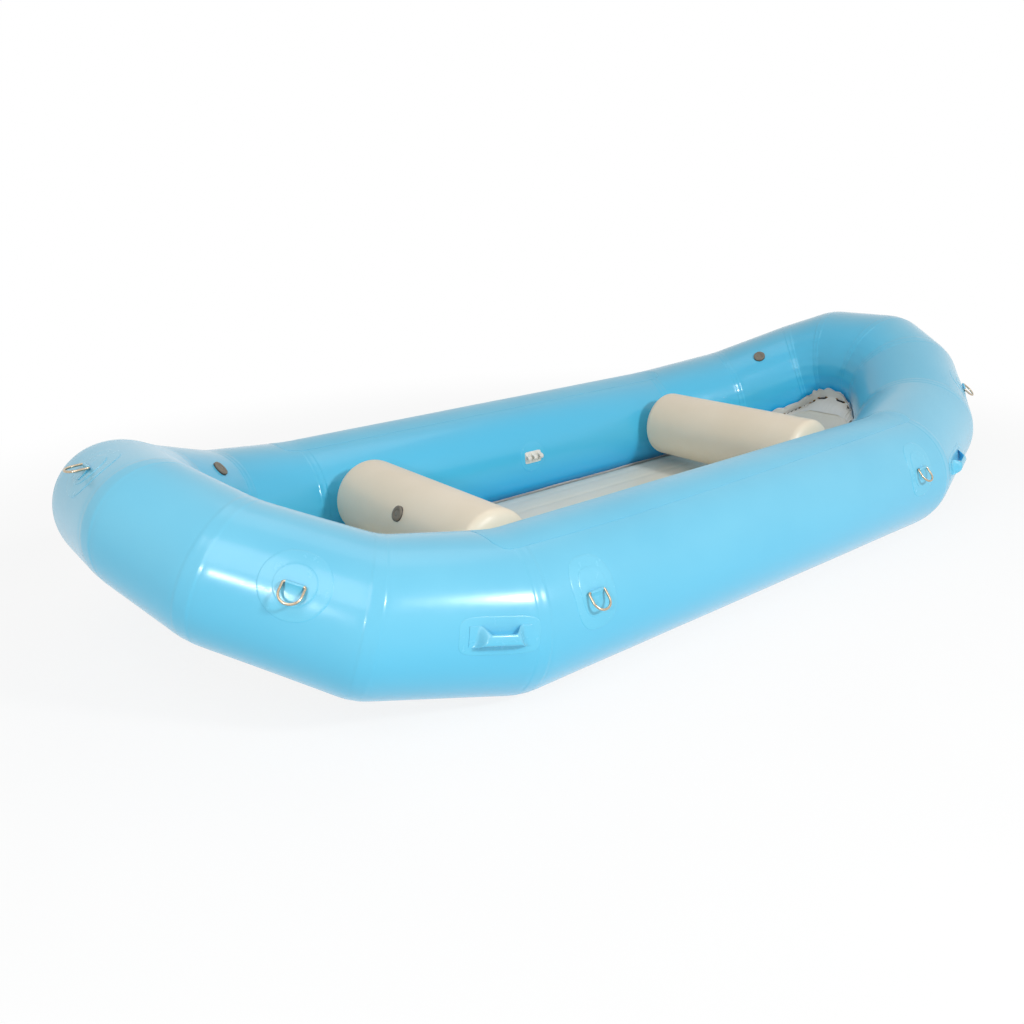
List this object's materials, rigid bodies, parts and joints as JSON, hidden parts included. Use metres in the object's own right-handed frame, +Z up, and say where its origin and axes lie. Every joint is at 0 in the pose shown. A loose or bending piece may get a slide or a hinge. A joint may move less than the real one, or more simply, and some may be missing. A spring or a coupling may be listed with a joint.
{
  "type": "whitewater raft",
  "caption": "Inflatable self-bailing whitewater raft: upturned oval tube hull, cross thwarts, laced-in floor, tie-down rings, lift handles and push-in air valves.",
  "frame": {"origin": "on the ground, under the middle of the straight part of the side tubes, on the floor's flat underside", "axes": "+X to the bow, +Y to port, +Z up"},
  "size_m": [4.4345, 2.1166, 0.8161],
  "materials": {
    "tube_fabric": "glossy coated fabric",
    "thwart_fabric": "satin coated fabric",
    "floor_fabric": "satin coated fabric",
    "knuckle_plastic": "satin",
    "valve_plastic": "satin",
    "stainless_steel": "polished",
    "cord": "woven"
  },
  "bodies": {
    "hull": {"aft_port_ring_patch": "tube_fabric", "aft_starboard_ring_patch": "tube_fabric", "bow_port_chamber": "tube_fabric", "bow_port_handle": "tube_fabric", "bow_port_valve_body": "valve_plastic", "bow_quarter_port_ring_patch": "tube_fabric", "bow_quarter_starboard_ring_patch": "tube_fabric", "bow_ring_patch": "tube_fabric", "bow_starboard_chamber": "tube_fabric", "bow_starboard_handle": "tube_fabric", "bow_starboard_valve_body": "valve_plastic", "centre_port_pad": "knuckle_plastic", "centre_starboard_pad": "knuckle_plastic", "floor": "floor_fabric", "floor_relief_valve": "valve_plastic", "fore_port_ring_patch": "tube_fabric", "fore_starboard_ring_patch": "tube_fabric", "front_port_pad": "knuckle_plastic", "front_starboard_pad": "knuckle_plastic", "front_thwart": "thwart_fabric", "front_thwart_valve_body": "valve_plastic", "lacing_cord": "cord", "rear_port_pad": "knuckle_plastic", "rear_starboard_pad": "knuckle_plastic", "rear_thwart": "thwart_fabric", "rear_thwart_valve_body": "valve_plastic", "stern_port_chamber": "tube_fabric", "stern_port_handle": "tube_fabric", "stern_port_valve_body": "valve_plastic", "stern_quarter_port_ring_patch": "tube_fabric", "stern_quarter_starboard_ring_patch": "tube_fabric", "stern_starboard_chamber": "tube_fabric", "stern_starboard_handle": "tube_fabric", "stern_starboard_valve_body": "valve_plastic", "tube_lacing_flap": "tube_fabric"},
    "bow_ring": {"bow_ring": "stainless_steel"},
    "bow_quarter_port_ring": {"bow_quarter_port_ring": "stainless_steel"},
    "fore_port_ring": {"fore_port_ring": "stainless_steel"},
    "aft_port_ring": {"aft_port_ring": "stainless_steel"},
    "stern_quarter_port_ring": {"stern_quarter_port_ring": "stainless_steel"},
    "bow_quarter_starboard_ring": {"bow_quarter_starboard_ring": "stainless_steel"},
    "fore_starboard_ring": {"fore_starboard_ring": "stainless_steel"},
    "aft_starboard_ring": {"aft_starboard_ring": "stainless_steel"},
    "stern_quarter_starboard_ring": {"stern_quarter_starboard_ring": "stainless_steel"},
    "bow_port_valve_cap": {"bow_port_valve_cap": "valve_plastic"},
    "bow_port_valve_plunger": {"bow_port_valve_plunger": "valve_plastic"},
    "stern_port_valve_cap": {"stern_port_valve_cap": "valve_plastic"},
    "stern_port_valve_plunger": {"stern_port_valve_plunger": "valve_plastic"},
    "bow_starboard_valve_cap": {"bow_starboard_valve_cap": "valve_plastic"},
    "bow_starboard_valve_plunger": {"bow_starboard_valve_plunger": "valve_plastic"},
    "stern_starboard_valve_cap": {"stern_starboard_valve_cap": "valve_plastic"},
    "stern_starboard_valve_plunger": {"stern_starboard_valve_plunger": "valve_plastic"},
    "front_thwart_valve_cap": {"front_thwart_valve_cap": "valve_plastic"},
    "front_thwart_valve_plunger": {"front_thwart_valve_plunger": "valve_plastic"},
    "rear_thwart_valve_cap": {"rear_thwart_valve_cap": "valve_plastic"},
    "rear_thwart_valve_plunger": {"rear_thwart_valve_plunger": "valve_plastic"},
    "front_port_batten": {"front_port_batten": "stainless_steel"},
    "front_starboard_batten": {"front_starboard_batten": "stainless_steel"},
    "rear_port_batten": {"rear_port_batten": "stainless_steel"},
    "rear_starboard_batten": {"rear_starboard_batten": "stainless_steel"}
  },
  "joints": [
    {"name": "bow_ring_hinge", "type": "hinge", "parent": "hull", "child": "bow_ring", "pos_m": [2.05728, 0, 0.77667], "axis": [0, -1, 0], "range_deg": [-30, 150]},
    {"name": "bow_quarter_port_ring_hinge", "type": "hinge", "parent": "hull", "child": "bow_quarter_port_ring", "pos_m": [1.75252, 0.7225, 0.53577], "axis": [0.6827, -0.6511, 0.3317], "range_deg": [-20, 160]},
    {"name": "fore_port_ring_hinge", "type": "hinge", "parent": "hull", "child": "fore_port_ring", "pos_m": [0.927, 1.01252, 0.36294], "axis": [1, 0, 0], "range_deg": [-20, 160]},
    {"name": "aft_port_ring_hinge", "type": "hinge", "parent": "hull", "child": "aft_port_ring", "pos_m": [-0.927, 1.01252, 0.36294], "axis": [1, 0, 0], "range_deg": [-20, 160]},
    {"name": "stern_quarter_port_ring_hinge", "type": "hinge", "parent": "hull", "child": "stern_quarter_port_ring", "pos_m": [-1.86594, 0.69073, 0.5238], "axis": [0.7335, 0.5958, -0.3271], "range_deg": [-20, 160]},
    {"name": "bow_quarter_starboard_ring_hinge", "type": "hinge", "parent": "hull", "child": "bow_quarter_starboard_ring", "pos_m": [1.75252, -0.7225, 0.53577], "axis": [-0.6827, -0.6511, -0.3317], "range_deg": [-20, 160]},
    {"name": "fore_starboard_ring_hinge", "type": "hinge", "parent": "hull", "child": "fore_starboard_ring", "pos_m": [0.927, -1.01252, 0.36294], "axis": [-1, 0, 0], "range_deg": [-20, 160]},
    {"name": "aft_starboard_ring_hinge", "type": "hinge", "parent": "hull", "child": "aft_starboard_ring", "pos_m": [-0.927, -1.01252, 0.36294], "axis": [-1, 0, 0], "range_deg": [-20, 160]},
    {"name": "stern_quarter_starboard_ring_hinge", "type": "hinge", "parent": "hull", "child": "stern_quarter_starboard_ring", "pos_m": [-1.86594, -0.69073, 0.5238], "axis": [-0.7335, 0.5958, 0.3271], "range_deg": [-20, 160]},
    {"name": "bow_port_valve_cap_lift", "type": "slide", "parent": "hull", "child": "bow_port_valve_cap", "axis": [-0.6437, -0.4208, 0.6392], "range_m": [0, 0.04]},
    {"name": "bow_port_valve_plunger_press", "type": "slide", "parent": "hull", "child": "bow_port_valve_plunger", "axis": [0.6437, 0.4208, -0.6392], "range_m": [0, 0.006], "stiffness_N_per_m": 600},
    {"name": "stern_port_valve_cap_lift", "type": "slide", "parent": "hull", "child": "stern_port_valve_cap", "axis": [0.3466, -0.8749, 0.3381], "range_m": [0, 0.04]},
    {"name": "stern_port_valve_plunger_press", "type": "slide", "parent": "hull", "child": "stern_port_valve_plunger", "axis": [-0.3466, 0.8749, -0.3381], "range_m": [0, 0.006], "stiffness_N_per_m": 600},
    {"name": "bow_starboard_valve_cap_lift", "type": "slide", "parent": "hull", "child": "bow_starboard_valve_cap", "axis": [-0.6437, 0.4208, 0.6392], "range_m": [0, 0.04]},
    {"name": "bow_starboard_valve_plunger_press", "type": "slide", "parent": "hull", "child": "bow_starboard_valve_plunger", "axis": [0.6437, -0.4208, -0.6392], "range_m": [0, 0.006], "stiffness_N_per_m": 600},
    {"name": "stern_starboard_valve_cap_lift", "type": "slide", "parent": "hull", "child": "stern_starboard_valve_cap", "axis": [0.6159, 0.3598, 0.7009], "range_m": [0, 0.04]},
    {"name": "stern_starboard_valve_plunger_press", "type": "slide", "parent": "hull", "child": "stern_starboard_valve_plunger", "axis": [-0.6159, -0.3598, -0.7009], "range_m": [0, 0.006], "stiffness_N_per_m": 600},
    {"name": "front_thwart_valve_cap_lift", "type": "slide", "parent": "hull", "child": "front_thwart_valve_cap", "axis": [0.8829, 0, 0.4695], "range_m": [0, 0.04]},
    {"name": "front_thwart_valve_plunger_press", "type": "slide", "parent": "hull", "child": "front_thwart_valve_plunger", "axis": [-0.8829, 0, -0.4695], "range_m": [0, 0.006], "stiffness_N_per_m": 600},
    {"name": "rear_thwart_valve_cap_lift", "type": "slide", "parent": "hull", "child": "rear_thwart_valve_cap", "axis": [-0.8829, 0, 0.4695], "range_m": [0, 0.04]},
    {"name": "rear_thwart_valve_plunger_press", "type": "slide", "parent": "hull", "child": "rear_thwart_valve_plunger", "axis": [0.8829, 0, -0.4695], "range_m": [0, 0.006], "stiffness_N_per_m": 600},
    {"name": "front_port_batten_pull", "type": "slide", "parent": "hull", "child": "front_port_batten", "axis": [1, 0, 0], "range_m": [0, 0.12]},
    {"name": "front_starboard_batten_pull", "type": "slide", "parent": "hull", "child": "front_starboard_batten", "axis": [1, 0, 0], "range_m": [0, 0.12]},
    {"name": "rear_port_batten_pull", "type": "slide", "parent": "hull", "child": "rear_port_batten", "axis": [1, 0, 0], "range_m": [0, 0.12]},
    {"name": "rear_starboard_batten_pull", "type": "slide", "parent": "hull", "child": "rear_starboard_batten", "axis": [1, 0, 0], "range_m": [0, 0.12]}
  ]
}
